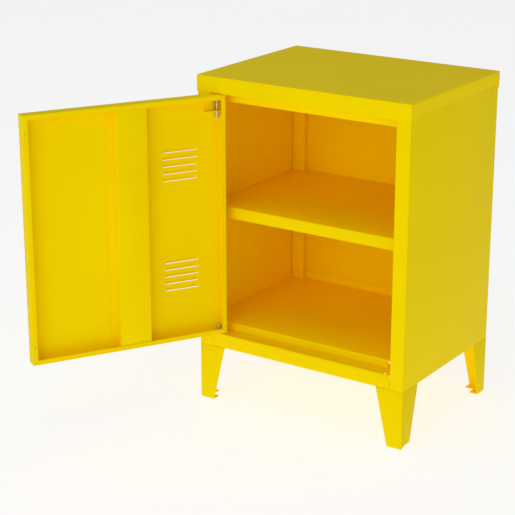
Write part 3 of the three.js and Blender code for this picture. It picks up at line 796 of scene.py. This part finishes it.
# One screw at the origin, as large as its CAD node and standing on its head.
def screwMesh(node):
    low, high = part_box(node)
    headRadius = (high.x - low.x) / 2
    headHeight, shank, pitch, point = screw["headHeight"], screw["shank"], screw["pitch"], screw["point"]
    length = high.z - low.z
    profile = [(0, 0)]
    dome = headHeight * screw["domeShare"]
    profile += [(headRadius * math.sin(a), dome * (1 - math.cos(a)))
                for a in [math.radians(10 * i) for i in range(2, 10)]]
    profile += [(headRadius, headHeight), (shank, headHeight)]
    for i in range(int((length - headHeight - pitch) / pitch)):
        z = headHeight + (i + screw["firstThread"]) * pitch
        profile += [(shank, z), (shank - screw["threadDepth"], z + pitch * 0.5)]
    profile += [(shank, length - point), (shank - point, length), (0, length)]
    piece = linkNew("screwBlank", turned("screwBlank", profile, (0, 0), crease=40))
    w, arm = screw["recessWidth"] / 2, headRadius * screw["recessReach"]
    for sizeX, sizeY in ((arm, w), (w, arm)):
        subtract(piece, boxMesh((-sizeX, -sizeY, -mm), (sizeX, sizeY, screw["recessDepth"])))
    return piece


def nutMesh(node):
    low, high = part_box(node)
    hole, chamfer, height = nut["hole"], nut["chamfer"], high.z - low.z
    rim = (high.x - low.x) / 2 / math.cos(math.pi / 6)
    half = height / 2
    bm = bmesh.new()
    bmesh.ops.create_cone(bm, cap_ends=True, segments=6, radius1=rim, radius2=rim, depth=height,
                          matrix=Matrix.Rotation(math.radians(30), 4, "Z"))
    hexagon = linkNew("nutBlank", closeMesh(bm, "nutBlank"))
    limits = [(hole, -half), (rim - chamfer, -half), (rim, -half + chamfer), (rim, half - chamfer),
              (rim - chamfer, half), (hole, half), (hole, -half)]
    envelope = linkNew("envelope", turned("envelope", limits, (0, 0), steps=48))
    modifier = hexagon.modifiers.new("round", "BOOLEAN")
    modifier.operation = "INTERSECT"
    modifier.object = envelope
    modifier.solver = "EXACT"
    bake(hexagon)
    bpy.data.objects.remove(envelope)
    return hexagon


def rivetMesh(node):
    low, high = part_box(node)
    head, height = (high.x - low.x) / 2, high.z - low.z
    shank, dome = rivet["shank"], rivet["dome"]
    profile = [(0, 0), (shank, 0), (shank, height - dome), (head, height - dome)]
    profile += [(head * math.cos(a), height - dome + dome * math.sin(a))
                for a in [math.radians(10 * i) for i in range(1, 9)]]
    profile += [(0, height)]
    return linkNew("rivetBlank", turned("rivetBlank", profile, (0, 0)))


# A copy of the blank at each node. The blank's origin goes to the node's underside, or to its middle.
def fastenerSet(name, nodeNames, blank, mostTurn, fromMiddle=False):
    bm = bmesh.new()
    for node in nodeNames:
        centre = middleOf(node)
        if not fromMiddle:
            centre.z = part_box(node)[0].z
        bm.verts.new(centre)
    piece = linkNew(name, toMesh(bm, name))
    applyTree(piece, scatter, {
        "Fastener": blank, "Most Turn": mostTurn, "Seed": screw["seed"], "Finish": materials["zinc"]})
    bake(piece, crease=40)
    bpy.data.objects.remove(blank)
    finishPiece(piece, *nodeNames)


scatter = scatterTree()
screwNodes = [f"{leg}_leg_{face}_screw" for leg in legNames for face in ("rail", "side")]
nutNodes = [f"{leg}_leg_{face}_nut" for leg in legNames for face in ("rail", "side")]
rivetNodes = [f"{leg}_sole_rivet" for leg in legNames]
fastenerSet("legScrews", screwNodes, screwMesh(screwNodes[0]), math.pi)
fastenerSet("legNuts", nutNodes, nutMesh(nutNodes[0]), 0.0, fromMiddle=True)
fastenerSet("soleRivets", rivetNodes, rivetMesh(rivetNodes[0]), 0.0)


print("stage, lights and camera")

stage = {
    "size": 100.0,
    "drop": 0.5 * mm,           # floor below the soles
    "colour": (0.45, 0.45, 0.45),
    "roughness": 0.9,
    "specular": 0.1,
    "glow": 0.7,
    "sky": 0.4,
    "bounces": 12,              # light goes many times round the inside of the case
}
lights = {
    "key": {"azimuth": 32, "elevation": 20, "distance": 3.2, "size": 0.6, "power": 2},
    "fill": {"azimuth": 6, "elevation": 14, "distance": 3.2, "size": 2.2, "power": 18},
    "top": {"azimuth": 0, "elevation": 80, "distance": 3.2, "size": 2.2, "power": 12},
}
camera = {
    "offset": (1.3110, -2.2138, 0.8181),   # from the middle of the case, halfway up
    "yaw": 0.5932,
    "pitch": 0.3208,
    "lens": 110.86,
    "sensor": 36,
    "farthest": 150,
}
caseMiddle = (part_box("top_cover")[0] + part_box("top_cover")[1]) / 2
caseMiddle.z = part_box("top_cover")[1].z / 2


def addFloor():
    half = stage["size"] / 2
    corners = ((-half, -half), (half, -half), (half, half), (-half, half))
    bm = bmesh.new()
    bm.faces.new([bm.verts.new((x, y, -stage["drop"])) for x, y in corners])
    floor = linkNew("floor", toMesh(bm, "floor"))
    material, _, _, shader, _ = startMaterial("paleFloor")
    shader.inputs["Base Color"].default_value = (*stage["colour"], 1)
    shader.inputs["Roughness"].default_value = stage["roughness"]
    shader.inputs["Specular IOR Level"].default_value = stage["specular"]
    shader.inputs["Emission Color"].default_value = (1, 1, 1, 1)
    shader.inputs["Emission Strength"].default_value = stage["glow"]
    floor.data.materials.append(material)


def addLight(name, look):
    light = bpy.data.lights.new(name, "AREA")
    light.shape = "DISK"
    light.size = look["size"]
    light.energy = look["power"]
    lamp = bpy.data.objects.new(name, light)
    bpy.context.scene.collection.objects.link(lamp)
    a, e = math.radians(look["azimuth"]), math.radians(look["elevation"])
    away = Vector((math.sin(a) * math.cos(e), -math.cos(a) * math.cos(e), math.sin(e)))
    lamp.location = caseMiddle + away * look["distance"]
    lamp.rotation_mode = "QUATERNION"
    lamp.rotation_quaternion = (-away).to_track_quat("-Z", "Y")


def addCamera():
    data = bpy.data.cameras.new("camera")
    data.lens = camera["lens"]
    data.sensor_width = camera["sensor"]
    data.clip_end = camera["farthest"]
    viewer = bpy.data.objects.new("camera", data)
    bpy.context.scene.collection.objects.link(viewer)
    viewer.location = caseMiddle + Vector(camera["offset"])
    viewer.rotation_euler = (math.pi / 2 - camera["pitch"], 0, camera["yaw"])
    bpy.context.scene.camera = viewer


def addWorld():
    world = bpy.data.worlds.new("studio")
    world.use_nodes = True
    background = world.node_tree.nodes["Background"]
    background.inputs["Color"].default_value = (1, 1, 1, 1)
    background.inputs["Strength"].default_value = stage["sky"]
    bpy.context.scene.world = world
    bpy.context.scene.view_settings.view_transform = "Standard"
    bpy.context.scene.cycles.diffuse_bounces = stage["bounces"]


addFloor()
for lightName, lightLook in lights.items():
    addLight(lightName, lightLook)
addCamera()
addWorld()
